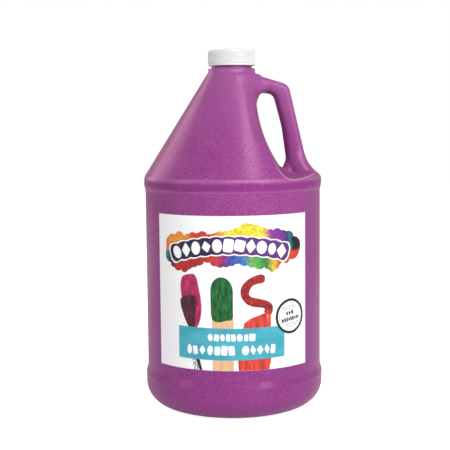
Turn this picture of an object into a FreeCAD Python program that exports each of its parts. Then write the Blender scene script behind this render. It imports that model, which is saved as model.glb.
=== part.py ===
"""One-gallon handled paint jug with its screw cap, seal, labels and paint.

The frame stands on the floor: +Z is up along the axis of the body and the neck,
the handle is towards +X, and the front label faces -Y.
"""
import FreeCAD, Part
import math
import os

import Sketcher

# Driving dimensions in millimetres, degrees and counts.
DIMENSIONS = {
    # blow-moulded body
    "panel_radius": 76.0,
    "bumper_radius": 77.7,
    "shoulder_radius": 77.05,
    "push_up": 5.0,
    "dimple_radius": 36.0,
    "ring_inner": 44.0,
    "ring_outer": 52.0,
    "heel_rise": 4.0,
    "heel_round": 20.0,
    "bumper_top": 29.5,
    "panel_low": 35.0,
    "panel_high": 188.5,
    "shoulder_low": 193.0,
    "shoulder_corner": 199.9,
    "shoulder_round": 12.0,
    "soft_edge": 3.0,
    "crisp_edge": 1.0,
    "wall": 1.2,
    # neck
    "collar_radius": 20.2,
    "collar_low": 289.8,
    "collar_high": 293.0,
    "neck_radius": 17.4,
    "neck_top": 305.7,
    "bore_radius": 15.0,
    "cone_to_bore": 298.0,
    # finger recess beside the handle
    "recess_left": 21.1,
    "recess_bend": 237.1,
    "recess_bend_round": 118.0,
    "recess_floor_start": 46.0,
    "recess_floor_low": 202.0,
    "recess_floor_round": 8.0,
    "recess_floor_high": 206.4,
    "recess_right": 90.0,
    "recess_top": 297.0,
    "recess_depth": 180.0,
    "recess_draft": 3.5,
    # handle, seen from the front
    "handle_root": 6.0,
    "handle_root_low": 275.7,
    "handle_root_high": 292.9,
    "handle_root_round": 7.4,
    "handle_bend_out": 49.4,
    "handle_bend_high": 279.5,
    "handle_bend_round": 10.0,
    "handle_corner_round": 8.0,
    "handle_underside_out": 35.8,
    "handle_underside_low": 270.5,
    "handle_underside_round": 6.0,
    "handle_waist_in": 42.6,
    "handle_waist_high": 243.5,
    "handle_waist_round": 60.0,
    "handle_heel_in": 46.9,
    "handle_heel_high": 214.5,
    "handle_web_in": 40.0,
    "handle_web_low": 199.0,
    "handle_flare_out": 65.5,
    "handle_flare_high": 211.5,
    "handle_flare_round": 25.0,
    "handle_foot_out": 76.9,
    "handle_foot_high": 200.1,
    "handle_foot_low": 186.0,
    "handle_foot_inner": 48.0,
    "handle_foot_outer": 71.0,
    "handle_depth": 22.0,
    "handle_round": 6.5,
    # paint
    "paint_gap": 0.3,
    "paint_level": 230.15,
    # thread of a 38 mm closure, six turns to the inch
    "thread_pitch": 4.233,
    "thread_turns": 1.5,
    "thread_root_width": 1.9,
    "thread_crest_width": 0.8,
    "thread_sink": 0.12,
    "neck_thread_height": 1.2,
    "neck_thread_start": 297.6,
    "cap_thread_height": 1.15,
    "cap_thread_start": 296.75,
    "cap_thread_turn": 108.0,
    # screw cap
    "cap_radius": 19.75,
    "cap_rib_radius": 20.2,
    "cap_bore": 18.95,
    "cap_low": 295.3,
    "cap_high": 308.5,
    "cap_ceiling": 306.9,
    "cap_edge": 1.2,
    "cap_rib_count": 90,
    "cap_rib_width": 0.8,
    "cap_rib_crest": 0.24,
    "cap_rib_low": 296.3,
    "cap_rib_high": 307.0,
    # seal and liner
    "foil_radius": 16.9,
    "foil_thickness": 0.2,
    "liner_radius": 17.5,
    # labels
    "label_lift": 0.05,
    "label_thickness": 0.2,
    "label_low": 45.1,
    "label_high": 172.2,
    "front_label_start": -144.1,
    "front_label_sweep": 105.5,
    "rear_label_start": 40.0,
    "rear_label_sweep": 100.0,
}

# The finger recess leaves less than this share of the turned body.
LEFT_BY_RECESS = 0.99


class Size:
    """A number together with the spreadsheet formula that gives it."""

    def __init__(self, number, formula):
        self.number = float(number)
        self.formula = formula

    @staticmethod
    def of(value):
        return value if isinstance(value, Size) else Size(value, repr(float(value)))

    def __add__(self, other):
        other = Size.of(other)
        return Size(self.number + other.number, f"({self.formula} + {other.formula})")

    def __sub__(self, other):
        other = Size.of(other)
        return Size(self.number - other.number, f"({self.formula} - {other.formula})")

    def __mul__(self, other):
        other = Size.of(other)
        return Size(self.number * other.number, f"({self.formula} * {other.formula})")

    def __truediv__(self, other):
        other = Size.of(other)
        return Size(self.number / other.number, f"({self.formula} / {other.formula})")

    __radd__ = __add__
    __rmul__ = __mul__

    def __rsub__(self, other):
        return Size.of(other) - self


document = FreeCAD.newDocument("paint_jug")
sheet = document.addObject("Spreadsheet::Sheet", "sizes")
for row, (alias, number) in enumerate(DIMENSIONS.items(), start=1):
    sheet.set(f"A{row}", alias)
    sheet.set(f"B{row}", str(number))
    sheet.setAlias(f"B{row}", alias)
document.recompute()
size = {alias: Size(sheet.get(alias), f"sizes.{alias}") for alias in DIMENSIONS}


# ---------------------------------------------------------------- outlines

def inset_corners(corners, inset, still=()):
    """Move the edges of a counter-clockwise outline inwards, each along its own normal.

    A corner is (across, up, rounding). Edge i runs from corner i to the next one, and
    the edges listed in still keep their place. Convex roundings shrink, hollow ones grow.
    """
    count = len(corners)
    places = [(corner[0].number, corner[1].number) for corner in corners]
    normals = []
    for i, (x, z) in enumerate(places):
        next_x, next_z = places[(i + 1) % count]
        length = math.hypot(next_x - x, next_z - z)
        normals.append(((z - next_z) / length, (next_x - x) / length))
    moved = []
    for i, (across, up, rounding) in enumerate(corners):
        (ax, az), (bx, bz) = normals[i - 1], normals[i]
        step_a = 0.0 if (i - 1) % count in still else 1.0
        step_b = 0.0 if i in still else 1.0
        turn = ax * bz - az * bx
        shift_x = (step_a * bz - step_b * az) / turn
        shift_z = (step_b * ax - step_a * bx) / turn
        if rounding is not None:
            rounding = rounding - inset if turn > 0 else rounding + inset
        moved.append((across + inset * shift_x, up + inset * shift_z, rounding))
    return moved


def draw_outline(body, name, plane, corners):
    """Sketch a closed outline whose corners and roundings follow the spreadsheet."""
    sketch = body.newObject("Sketcher::SketchObject", name)
    support = [face for face in body.Origin.OriginFeatures if face.Role == plane][0]
    sketch.AttachmentSupport = [(support, "")]
    sketch.MapMode = "FlatFace"
    count = len(corners)
    places = [FreeCAD.Vector(across.number, up.number, 0) for across, up, _ in corners]

    def toward(i, j):
        return (places[j % count] - places[i]).normalize()

    reach = []
    for i, (_, _, rounding) in enumerate(corners):
        half_turn = toward(i, i - 1).getAngle(toward(i, i + 1)) / 2
        reach.append(0.0 if rounding is None else rounding.number / math.tan(half_turn))

    def bind(kind, *target, value):
        index = sketch.addConstraint(Sketcher.Constraint(kind, *target, value.number))
        sketch.setExpression(f"Constraints[{index}]", value.formula)

    def tie(kind, *target):
        sketch.addConstraint(Sketcher.Constraint(kind, *target))

    edges = []
    for i in range(count):
        j = (i + 1) % count
        start = places[i] + toward(i, j) * reach[i]
        end = places[j] + toward(j, i) * reach[j]
        edges.append(sketch.addGeometry(Part.LineSegment(start, end), False))
    for i, (across, up, rounding) in enumerate(corners):
        before, after = edges[i - 1], edges[i]
        if rounding is None:
            tie("Coincident", before, 2, after, 1)
            fixed = (after, 1)
        else:
            point = sketch.addGeometry(Part.Point(places[i]), True)
            tie("PointOnObject", point, 1, before)
            tie("PointOnObject", point, 1, after)
            fixed = (point, 1)
        bind("DistanceX", -1, 1, *fixed, value=across)
        bind("DistanceY", -1, 1, *fixed, value=up)
    for i, (_, _, rounding) in enumerate(corners):
        if rounding is None:
            continue
        before, after = edges[i - 1], edges[i]
        inward = (toward(i, i - 1) + toward(i, i + 1)).normalize()
        half_turn = toward(i, i - 1).getAngle(toward(i, i + 1)) / 2
        centre = places[i] + inward * (rounding.number / math.sin(half_turn))
        first = places[i] + toward(i, i - 1) * reach[i]
        last = places[i] + toward(i, i + 1) * reach[i]
        middle = centre - inward * rounding.number
        arc = sketch.addGeometry(Part.Arc(first, middle, last), False)
        forward = toward(i, i - 1).cross(toward(i, i + 1)).z < 0
        start, end = (1, 2) if forward else (2, 1)
        tie("Tangent", before, 2, arc, start)
        tie("Tangent", after, 1, arc, end)
        bind("Radius", arc, value=rounding)
    return sketch


def new_body(name):
    return document.addObject("PartDesign::Body", name)


def revolve(body, sketch, sweep=360):
    turned = body.newObject("PartDesign::Revolution", f"{sketch.Name}_turned")
    turned.Profile = sketch
    turned.ReferenceAxis = (sketch, ["V_Axis"])
    turned.Angle = sweep
    return turned


def corner(across, up, rounding=None):
    return (Size.of(across), Size.of(up), rounding)


# ---------------------------------------------------------------- jug

def body_corners():
    """Half section of the body from the middle of its base to the rim of the shoulder."""
    soft, crisp = size["soft_edge"], size["crisp_edge"]
    return [
        corner(0, size["push_up"]),
        corner(size["dimple_radius"], size["push_up"], soft),
        corner(size["ring_inner"], 0, crisp + size["wall"]),
        corner(size["ring_outer"], 0, soft + size["wall"]),
        corner(size["bumper_radius"], size["heel_rise"], size["heel_round"]),
        corner(size["bumper_radius"], size["bumper_top"], soft),
        corner(size["panel_radius"], size["panel_low"], soft),
        corner(size["panel_radius"], size["panel_high"], soft),
        corner(size["shoulder_radius"], size["shoulder_low"], soft),
        corner(size["shoulder_radius"], size["shoulder_corner"], size["shoulder_round"]),
    ]


def outer_corners():
    """The outside of the jug, with its collar and neck, down to the axis."""
    return body_corners() + [
        corner(size["collar_radius"], size["collar_low"]),
        corner(size["collar_radius"], size["collar_high"], size["crisp_edge"]),
        corner(size["neck_radius"], size["collar_high"]),
        corner(size["neck_radius"], size["neck_top"]),
        corner(0, size["neck_top"]),
    ]


def inner_corners(inset):
    """The hollow of the jug: the body set in by the wall, and the bore of the neck."""
    corners = body_corners() + [
        corner(size["bore_radius"], size["cone_to_bore"]),
        corner(size["bore_radius"], size["neck_top"] + size["wall"]),
        corner(0, size["neck_top"] + size["wall"]),
    ]
    last = len(corners) - 1
    return inset_corners(corners, inset, still=(last - 2, last - 1, last))


def recess_corners():
    """Front outline of the finger recess that the body gives up beside the handle."""
    return [
        corner(size["recess_left"], size["recess_top"]),
        corner(size["recess_left"], size["recess_bend"], size["recess_bend_round"]),
        corner(size["recess_floor_start"], size["recess_floor_low"], size["recess_floor_round"]),
        corner(size["recess_right"], size["recess_floor_high"]),
        corner(size["recess_right"], size["recess_top"]),
    ]


def handle_corners():
    """Front outline of the handle, from its root in the cone to its foot in the shoulder."""
    bend, turn = size["handle_bend_round"], size["handle_corner_round"]
    return [
        corner(size["handle_root"], size["handle_root_high"], size["handle_root_round"]),
        corner(size["handle_root"], size["handle_root_low"], size["handle_root_round"]),
        corner(size["handle_underside_out"], size["handle_underside_low"],
               size["handle_underside_round"]),
        corner(size["handle_waist_in"], size["handle_waist_high"], size["handle_waist_round"]),
        corner(size["handle_heel_in"], size["handle_heel_high"], bend),
        corner(size["handle_web_in"], size["handle_web_low"], turn),
        corner(size["handle_foot_inner"], size["handle_foot_low"], turn),
        corner(size["handle_foot_outer"], size["handle_foot_low"], turn),
        corner(size["handle_foot_out"], size["handle_foot_high"], turn),
        corner(size["handle_flare_out"], size["handle_flare_high"], size["handle_flare_round"]),
        corner(size["handle_bend_out"], size["handle_bend_high"], bend),
    ]


def recessed_body(name, corners, inset):
    """Turn a half section and cut the finger recess out of it, front to back."""
    body = new_body(f"{name}_body")
    revolve(body, draw_outline(body, f"{name}_section", "XZ_Plane", corners))
    document.recompute()
    whole = body.Shape.Volume
    outline = inset_corners(recess_corners(), inset * -1)
    recess = body.newObject("PartDesign::Pocket", f"{name}_recess")
    recess.Profile = draw_outline(body, f"{name}_recess_outline", "XZ_Plane", outline)
    recess.SideType = "Symmetric"
    recess.setExpression("Length", size["recess_depth"].formula)
    recess.setExpression("TaperAngle", f"-{size['recess_draft'].formula}")
    document.recompute()
    if body.Shape.Volume > LEFT_BY_RECESS * whole:
        raise RuntimeError(f"the finger recess cuts nothing out of {name}")
    return body


def handle_loop(name, inset):
    """A rounded bar in the outline of the handle."""
    body = new_body(f"{name}_handle")
    outline = inset_corners(handle_corners(), inset)
    pad = body.newObject("PartDesign::Pad", f"{name}_handle_bar")
    pad.Profile = draw_outline(body, f"{name}_handle_outline", "XZ_Plane", outline)
    pad.SideType = "Symmetric"
    pad.setExpression("Length", (size["handle_depth"] - inset * 2).formula)
    document.recompute()
    edges = []
    half_depth = pad.Length.Value / 2
    for i, edge in enumerate(pad.Shape.Edges, start=1):
        box = edge.BoundBox
        if box.YLength < 1e-3 and abs(abs(box.YMin) - half_depth) < 1e-3:
            edges.append(f"Edge{i}")
    rounding = body.newObject("PartDesign::Fillet", f"{name}_handle_rounding")
    rounding.Base = (pad, edges)
    rounding.setExpression("Radius", (size["handle_round"] - inset).formula)
    return body


def jug_form(name, corners, inset):
    """Body, recess and handle in one solid, all set in by the same amount."""
    form = document.addObject("Part::Fuse", name)
    form.Base = recessed_body(name, corners, inset)
    form.Tool = handle_loop(name, inset)
    return form


def helical_ridge(body, name, radius, height, start):
    """A trapezoid ridge wound round the axis; a negative height points inwards."""
    root, crest = size["thread_root_width"], size["thread_crest_width"]
    sink = size["thread_sink"] * math.copysign(1, height.number)
    corners = [
        corner(radius - sink, start - root / 2),
        corner(radius + height, start - crest / 2),
        corner(radius + height, start + crest / 2),
        corner(radius - sink, start + root / 2),
    ]
    thread = body.newObject("PartDesign::AdditiveHelix", name)
    thread.Profile = draw_outline(body, f"{name}_section", "XZ_Plane", corners)
    thread.ReferenceAxis = (thread.Profile[0], ["V_Axis"])
    thread.Mode = "pitch-turns-angle"
    thread.setExpression("Pitch", size["thread_pitch"].formula)
    thread.setExpression("Turns", size["thread_turns"].formula)
    return thread


def make_neck_thread():
    body = new_body("neck_sleeve")
    wall = [
        corner(size["bore_radius"], size["collar_high"]),
        corner(size["neck_radius"], size["collar_high"]),
        corner(size["neck_radius"], size["neck_top"]),
        corner(size["bore_radius"], size["neck_top"]),
    ]
    revolve(body, draw_outline(body, "neck_wall", "XZ_Plane", wall))
    document.recompute()
    helical_ridge(body, "neck_thread", size["neck_radius"], size["neck_thread_height"],
                  size["neck_thread_start"])
    return body


def make_jug_shell():
    outside = jug_form("jug_outside", outer_corners(), Size.of(0))
    inside = jug_form("jug_inside", inner_corners(size["wall"]), size["wall"])
    hollow = document.addObject("Part::Cut", "jug_hollow")
    hollow.Base = outside
    hollow.Tool = inside
    shell = document.addObject("Part::Fuse", "jug_shell")
    shell.Base = hollow
    shell.Tool = make_neck_thread()
    return shell


def make_paint_fill():
    """The paint, a hair clear of the wall, up to its level in the cone and the handle."""
    inset = size["wall"] + size["paint_gap"]
    room = jug_form("paint_room", inner_corners(inset), inset)
    level = document.addObject("Part::Cylinder", "paint_level")
    level.setExpression("Radius", (size["bumper_radius"] + size["wall"]).formula)
    level.setExpression("Height", size["paint_level"].formula)
    paint = document.addObject("Part::Common", "paint_fill")
    paint.Base = room
    paint.Tool = level
    return paint


# ---------------------------------------------------------------- closure

def make_disc(name, radius, low, high):
    body = new_body(name)
    corners = [corner(0, low), corner(radius, low), corner(radius, high), corner(0, high)]
    revolve(body, draw_outline(body, f"{name}_section", "XZ_Plane", corners))
    return body


def make_foil_seal():
    return make_disc("foil_seal", size["foil_radius"], size["neck_top"],
                     size["neck_top"] + size["foil_thickness"])


def make_cap_liner():
    return make_disc("cap_liner", size["liner_radius"],
                     size["neck_top"] + size["foil_thickness"], size["cap_ceiling"])


def make_cap_shell():
    """A cup with upright ribs outside and one internal thread."""
    body = new_body("cap_shell")
    cup = [
        corner(0, size["cap_ceiling"]),
        corner(size["cap_bore"], size["cap_ceiling"]),
        corner(size["cap_bore"], size["cap_low"]),
        corner(size["cap_radius"], size["cap_low"]),
        corner(size["cap_radius"], size["cap_high"], size["cap_edge"]),
        corner(0, size["cap_high"]),
    ]
    revolve(body, draw_outline(body, "cap_cup", "XZ_Plane", cup))
    document.recompute()
    helical_ridge(body, "cap_thread", size["cap_bore"], size["cap_thread_height"] * -1,
                  size["cap_thread_start"])
    document.recompute()

    half, crest = size["cap_rib_width"] / 2, size["cap_rib_crest"] / 2
    sunk = size["cap_radius"] - half
    rib_outline = [
        corner(sunk, half * -1),
        corner(size["cap_radius"], half * -1),
        corner(size["cap_rib_radius"], crest * -1),
        corner(size["cap_rib_radius"], crest),
        corner(size["cap_radius"], half),
        corner(sunk, half),
    ]
    sketch = draw_outline(body, "cap_rib_outline", "XY_Plane", rib_outline)
    sketch.setExpression("AttachmentOffset.Base.z", size["cap_rib_low"].formula)
    rib = body.newObject("PartDesign::Pad", "cap_rib")
    rib.Profile = sketch
    rib.setExpression("Length", (size["cap_rib_high"] - size["cap_rib_low"]).formula)
    document.recompute()
    ribs = body.newObject("PartDesign::PolarPattern", "cap_ribs")
    ribs.Originals = [rib]
    ribs.Axis = (sketch, ["N_Axis"])
    ribs.setExpression("Occurrences", size["cap_rib_count"].formula)
    body.Tip = ribs
    body.Placement = FreeCAD.Placement(
        FreeCAD.Vector(0, 0, 0),
        FreeCAD.Rotation(FreeCAD.Vector(0, 0, 1), size["cap_thread_turn"].number))
    return body


# ---------------------------------------------------------------- labels

def make_label(name, start, sweep):
    """A thin sheet wrapped on the panel, from its start angle counter-clockwise."""
    body = new_body(name)
    inner = size["panel_radius"] + size["label_lift"]
    outer = inner + size["label_thickness"]
    corners = [
        corner(inner, size["label_low"]),
        corner(outer, size["label_low"]),
        corner(outer, size["label_high"]),
        corner(inner, size["label_high"]),
    ]
    sheet_turned = revolve(body, draw_outline(body, f"{name}_section", "XZ_Plane", corners))
    sheet_turned.setExpression("Angle", size[sweep].formula)
    body.Placement = FreeCAD.Placement(
        FreeCAD.Vector(0, 0, 0),
        FreeCAD.Rotation(FreeCAD.Vector(0, 0, 1), size[start].number))
    return body


# ---------------------------------------------------------------- build and write

subparts = {
    "jug_shell": make_jug_shell(),
    "paint_fill": make_paint_fill(),
    "foil_seal": make_foil_seal(),
    "cap_liner": make_cap_liner(),
    "cap_shell": make_cap_shell(),
    "front_label": make_label("front_label", "front_label_start", "front_label_sweep"),
    "rear_label": make_label("rear_label", "rear_label_start", "rear_label_sweep"),
}
document.recompute()

for item in document.Objects:
    if "Invalid" in item.State or "Error" in item.State:
        raise RuntimeError(f"{item.Name} did not recompute: {item.State}")
for label, item in subparts.items():
    item.Label = label
    if item.Shape.isNull() or not item.Shape.isValid():
        raise RuntimeError(f"{label} has no sound shape")

os.makedirs("parts", exist_ok=True)
for label, item in subparts.items():
    item.Shape.exportStep(f"parts/{label}.step")
    box = item.Shape.BoundBox
    print(f"{label:12s} {len(item.Shape.Solids)} solid(s) {item.Shape.Volume / 1000:9.2f} ml"
          f"  z {box.ZMin:.2f} to {box.ZMax:.2f}")
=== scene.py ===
"""Looks of a one-gallon handled paint jug: blown jug, closure, labels and paint.

Shapes are worked out in millimetres and become metres when their mesh is made.
"""
import math
import random

import bmesh
import bpy
import numpy as np
from mathutils import Matrix, Vector


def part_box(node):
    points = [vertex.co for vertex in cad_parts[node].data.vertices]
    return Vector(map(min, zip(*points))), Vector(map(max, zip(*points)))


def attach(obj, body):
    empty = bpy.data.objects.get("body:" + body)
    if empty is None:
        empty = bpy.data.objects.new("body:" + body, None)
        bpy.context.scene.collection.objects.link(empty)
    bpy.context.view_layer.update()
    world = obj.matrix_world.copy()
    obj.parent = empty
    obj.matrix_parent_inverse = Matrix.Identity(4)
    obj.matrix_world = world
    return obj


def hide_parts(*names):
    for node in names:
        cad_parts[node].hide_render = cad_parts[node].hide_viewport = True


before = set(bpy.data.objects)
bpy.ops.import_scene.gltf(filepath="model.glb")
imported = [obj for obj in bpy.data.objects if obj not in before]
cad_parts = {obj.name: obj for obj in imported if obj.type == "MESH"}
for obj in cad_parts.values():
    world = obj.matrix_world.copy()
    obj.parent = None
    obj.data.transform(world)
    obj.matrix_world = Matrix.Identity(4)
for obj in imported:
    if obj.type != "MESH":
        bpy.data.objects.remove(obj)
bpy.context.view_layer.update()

MM = 0.001


def node_box(name):
    """Lowest and highest corner of a CAD node in millimetres."""
    low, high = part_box(name)
    return low / MM, high / MM


jug_high = node_box("jug_shell")[1]
cap_low, cap_high = node_box("cap_shell")
liner_high = node_box("cap_liner")[1]
label_low, label_high = node_box("front_label")
rear_low, rear_high = node_box("rear_label")

BUMPER = jug_high.x
LABEL_RADIUS = -label_low.y
PANEL = LABEL_RADIUS - 0.25
NECK_TOP = jug_high.z
CONE_CORNER = (77.05, 199.9)
CONE_TOP = (20.2, 289.8)
WALL = 1.6


# ------------------------------------------------------------------ node trees

class Wire:
    """An output socket that Python's arithmetic works on: each sign adds a Math node."""

    def __init__(self, bench, socket):
        self.bench = bench
        self.socket = socket

    def out(self, name):
        """Another output of the same node."""
        return Wire(self.bench, self.socket.node.outputs[name])

    def __add__(self, other):
        return self.bench.math("ADD", self, other)

    def __sub__(self, other):
        return self.bench.math("SUBTRACT", self, other)

    def __rsub__(self, other):
        return self.bench.math("SUBTRACT", other, self)

    def __mul__(self, other):
        return self.bench.math("MULTIPLY", self, other)

    def __truediv__(self, other):
        return self.bench.math("DIVIDE", self, other)

    def __rtruediv__(self, other):
        return self.bench.math("DIVIDE", other, self)

    def __gt__(self, other):
        return self.bench.math("GREATER_THAN", self, other)

    __radd__ = __add__
    __rmul__ = __mul__


class Bench:
    """Adds nodes to one tree, of a finish or of a made shape."""

    def __init__(self, tree):
        self.tree = tree

    def feed(self, socket, value):
        if isinstance(value, Wire):
            self.tree.links.new(value.socket, socket)
        else:
            socket.default_value = value

    def node(self, kind, settings=None, sockets=None, out=0):
        """Add a node, set it up, feed its sockets and give one of its outputs."""
        node = self.tree.nodes.new(kind)
        for name, value in (settings or {}).items():
            if name == "stops":
                self.set_stops(node.color_ramp, value)
            else:
                setattr(node, name, value)
        for key, value in (sockets or {}).items():
            self.feed(node.inputs[key], value)
        return Wire(self, node.outputs[out])

    @staticmethod
    def set_stops(ramp, stops):
        while len(ramp.elements) < len(stops):
            ramp.elements.new(0.5)
        for element, (place, colour) in zip(ramp.elements, stops):
            element.position = place
            element.color = colour

    def math(self, operation, *values):
        return self.node("ShaderNodeMath", {"operation": operation}, dict(enumerate(values)))

    def ease(self, value, start, end):
        """0 before start, 1 past end and smooth between them."""
        return self.node("ShaderNodeMapRange", {"interpolation_type": "SMOOTHSTEP"},
                         {"Value": value, "From Min": start, "From Max": end})


class Finish(Bench):
    """A material, with short names for the nodes that most of them need."""

    def __init__(self, name, **constants):
        self.material = bpy.data.materials.new(name)
        self.material.use_nodes = True
        super().__init__(self.material.node_tree)
        self.surface = self.tree.nodes["Principled BSDF"]
        self.set(**constants)

    def set(self, **values):
        for name, value in values.items():
            self.feed(self.surface.inputs[name.replace("_", " ").title()
                                          .replace("Ior", "IOR")], value)

    def place(self):
        """Where a point of the piece lies, in millimetres."""
        where = self.node("ShaderNodeTexCoord", out="Object")
        return self.node("ShaderNodeVectorMath", {"operation": "SCALE"},
                         {0: where, "Scale": 1 / MM})

    def print_place(self):
        """Millimetres across and up the label."""
        where = self.node("ShaderNodeUVMap", {"uv_map": "print"})
        return self.node("ShaderNodeVectorMath", {"operation": "SCALE"},
                         {0: where, "Scale": 100.0})

    def stretch(self, where, x=1.0, y=1.0, z=1.0):
        return self.node("ShaderNodeVectorMath", {"operation": "MULTIPLY"},
                         {0: where, 1: (x, y, z)})

    def split(self, where):
        parts = self.node("ShaderNodeSeparateXYZ", None, {0: where})
        return parts.out("X"), parts.out("Y"), parts.out("Z")

    def cloud(self, where, size, detail=2.0, rough=0.5):
        """Soft random values from 0 to 1, with blotches of about a size in millimetres."""
        return self.node("ShaderNodeTexNoise", None,
                         {"Vector": where, "Scale": 1 / size, "Detail": detail,
                          "Roughness": rough}, out="Fac")

    def flakes(self, where, size):
        """One random value for each flake of about a size in millimetres."""
        flake = self.node("ShaderNodeTexVoronoi", None, {"Vector": where, "Scale": 1 / size},
                          out="Color")
        return self.split(flake)

    def mix(self, factor, first, second, way="MIX"):
        return self.node("ShaderNodeMix", {"data_type": "RGBA", "blend_type": way},
                         {0: factor, 6: first, 7: second}, out=2)

    def band(self, value, middle, half, soft):
        """1 within half of the middle, fading to 0 over a soft edge."""
        return self.ease(self.math("ABSOLUTE", value - middle), half + soft, half)

    def bump(self, height, strength, depth):
        """A relief whose height of 1 stands for a depth in millimetres."""
        return self.node("ShaderNodeBump", None,
                         {"Height": height, "Strength": strength, "Distance": depth * MM})


def paint_chip(red, green, blue):
    """A colour given as it shows on a screen, 0 to 255, made linear for a shader."""
    parts = []
    for value in (red, green, blue):
        share = value / 255
        parts.append(share / 12.92 if share < 0.04045 else ((share + 0.055) / 1.055) ** 2.4)
    return (*parts, 1.0)


# ------------------------------------------------------------------ finishes

def make_jug_plastic(name, painted_highlight_share=0.0):
    """Milky polyethylene with the glitter paint showing through it; its colour holds painted
    highlights on the shoulder lines and painted shade low down and under the shoulder, and a paler
    copy paints the highlight on thin edges.
    """
    finish = Finish(name, ior=1.46, specular_tint=paint_chip(255, 196, 214),
                    sheen_weight=0.26, sheen_roughness=0.35,
                    sheen_tint=paint_chip(255, 150, 158), coat_roughness=0.16)
    where = finish.place()
    out, side, height = finish.split(where)
    near_neck = finish.ease(height, 215.0, 285.0)
    milky = finish.ease(height, 262.0, 292.0)
    # Painted shade: the body darker towards the bottom, where less of the room's light reaches it.
    painted_shade_low = finish.ease(height, 185.0, 100.0)
    # Paler on the handle: thinner plastic over its hollow, and partly painted light in place of the
    # front light the lamps leave out.
    on_handle = (finish.ease(out, 30.0, 42.0) * finish.band(side, 0.0, 20.0, 6.0)
                 * finish.ease(height, 196.0, 203.0))
    corner = CONE_CORNER[1]
    # Painted highlight along the shoulder corner, a pale line where the lamps would shine on its
    # rounding.
    painted_highlight_corner = finish.band(height, corner, 0.5, 1.9)
    # Painted shade on the upright band under the shoulder corner.
    painted_shade_band = finish.band(height, corner - 5.4, 1.5, 2.5)
    # Painted highlight along the lower edge of the shoulder step.
    painted_highlight_step = finish.band(height, corner - 9.2, 0.2, 0.6)

    depth, tint, sparkle = finish.flakes(where, 0.7)
    grain = finish.cloud(where, 0.8, detail=3.0)
    drift = finish.cloud(where, 26.0)
    shade = grain * 0.5 + depth * 0.25 + drift * 0.25
    body = finish.mix(finish.ease(shade, 0.25, 0.75), paint_chip(130, 48, 122),
                      paint_chip(156, 76, 144))
    bright = (sparkle > 0.92) * (1 - near_neck)
    body = finish.mix(bright * 0.3, body, paint_chip(192, 122, 182))
    dark = (tint > 0.9) * (1 - near_neck)
    body = finish.mix(dark * 0.35, body, paint_chip(98, 26, 104))
    body = finish.mix(near_neck * 0.45 + milky * 0.2, body, paint_chip(158, 88, 148))
    # Painted shade: darker towards the bottom and on the band under the shoulder.
    body = finish.mix(painted_shade_low * 0.3 + painted_shade_band * 0.6, body, paint_chip(126, 30, 120))
    body = finish.mix(on_handle * 0.14, body, paint_chip(178, 108, 168))
    # The pale pink of the painted highlights on the shoulder lines and thin edges.
    pale = paint_chip(224, 176, 208)
    body = finish.mix(painted_highlight_corner * 0.12 + painted_highlight_step * 0.1, body, pale)
    # A paler copy of the finish paints a highlight on thin edges.
    if painted_highlight_share:
        body = finish.mix(painted_highlight_share, body, pale)
    skin = finish.cloud(where, 1.6, detail=4.0)
    finish.set(base_color=body, roughness=0.26 + skin * 0.12,
               coat_weight=0.05 + drift * 0.05, normal=finish.bump(skin, 0.3, 0.09))
    return finish.material


def make_cap_plastic():
    """White moulded plastic, a little scuffed along its ribs."""
    finish = Finish("cap_plastic", ior=1.48, coat_weight=0.1, coat_roughness=0.25)
    where = finish.place()
    skin = finish.cloud(where, 0.7, detail=3.0)
    scuff = finish.cloud(finish.stretch(where, z=0.3), 3.0, detail=5.0, rough=0.65)
    white = finish.mix(finish.ease(scuff, 0.45, 0.8) * 0.35, paint_chip(225, 226, 227),
                       paint_chip(210, 212, 214))
    finish.set(base_color=white, roughness=0.34 + scuff * 0.16,
               normal=finish.bump(skin, 0.2, 0.05))
    return finish.material


def make_liner_foam():
    """Closed-cell foam: small round pores in an off-white sheet."""
    finish = Finish("liner_foam", ior=1.45)
    where = finish.place()
    pore = finish.node("ShaderNodeTexVoronoi", None, {"Vector": where, "Scale": 2.2},
                       out="Distance")
    open_pore = finish.ease(pore, 0.35, 0.1)
    # Darker in the pores: painted shade in the foam's hollows.
    colour = finish.mix(open_pore * 0.5, paint_chip(236, 236, 230), paint_chip(205, 204, 196))
    finish.set(base_color=colour, roughness=0.75 + open_pore * 0.15,
               normal=finish.bump(1 - open_pore, 0.5, 0.12))
    return finish.material


def make_foil():
    """Heat-sealed foil with a fine pressed weave and soft creases."""
    finish = Finish("foil", metallic=0.95, ior=1.45)
    where = finish.place()
    x, y, _ = finish.split(where)
    weave = finish.math("SINE", x * 7.0) * finish.math("SINE", y * 7.0)
    crease = finish.cloud(where, 7.0, detail=5.0, rough=0.6)
    # Darker in the crease hollows: painted shade following the relief.
    colour = finish.mix(crease, paint_chip(196, 198, 202), paint_chip(232, 233, 235))
    finish.set(base_color=colour, roughness=0.24 + crease * 0.25,
               normal=finish.bump(weave * 0.3 + crease, 0.5, 0.12))
    return finish.material


def make_glitter_paint():
    """Thick purple paint with metal flakes in it."""
    finish = Finish("glitter_paint", ior=1.45, coat_weight=0.5, coat_roughness=0.08)
    where = finish.place()
    depth, tint, sparkle = finish.flakes(where, 0.6)
    swirl = finish.cloud(where, 9.0, detail=4.0)
    colour = finish.mix(swirl, paint_chip(104, 24, 100), paint_chip(142, 52, 134))
    flake = sparkle > 0.86
    colour = finish.mix(flake * 0.8, colour, paint_chip(232, 176, 226))
    finish.set(base_color=colour, metallic=flake * 0.7, roughness=0.42 - flake * 0.2,
               normal=finish.bump(depth, 0.3, 0.1))
    return finish.material


PRINT_GLOSS = {"ior": 1.46, "coat_weight": 0.15, "coat_roughness": 0.18}


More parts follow.
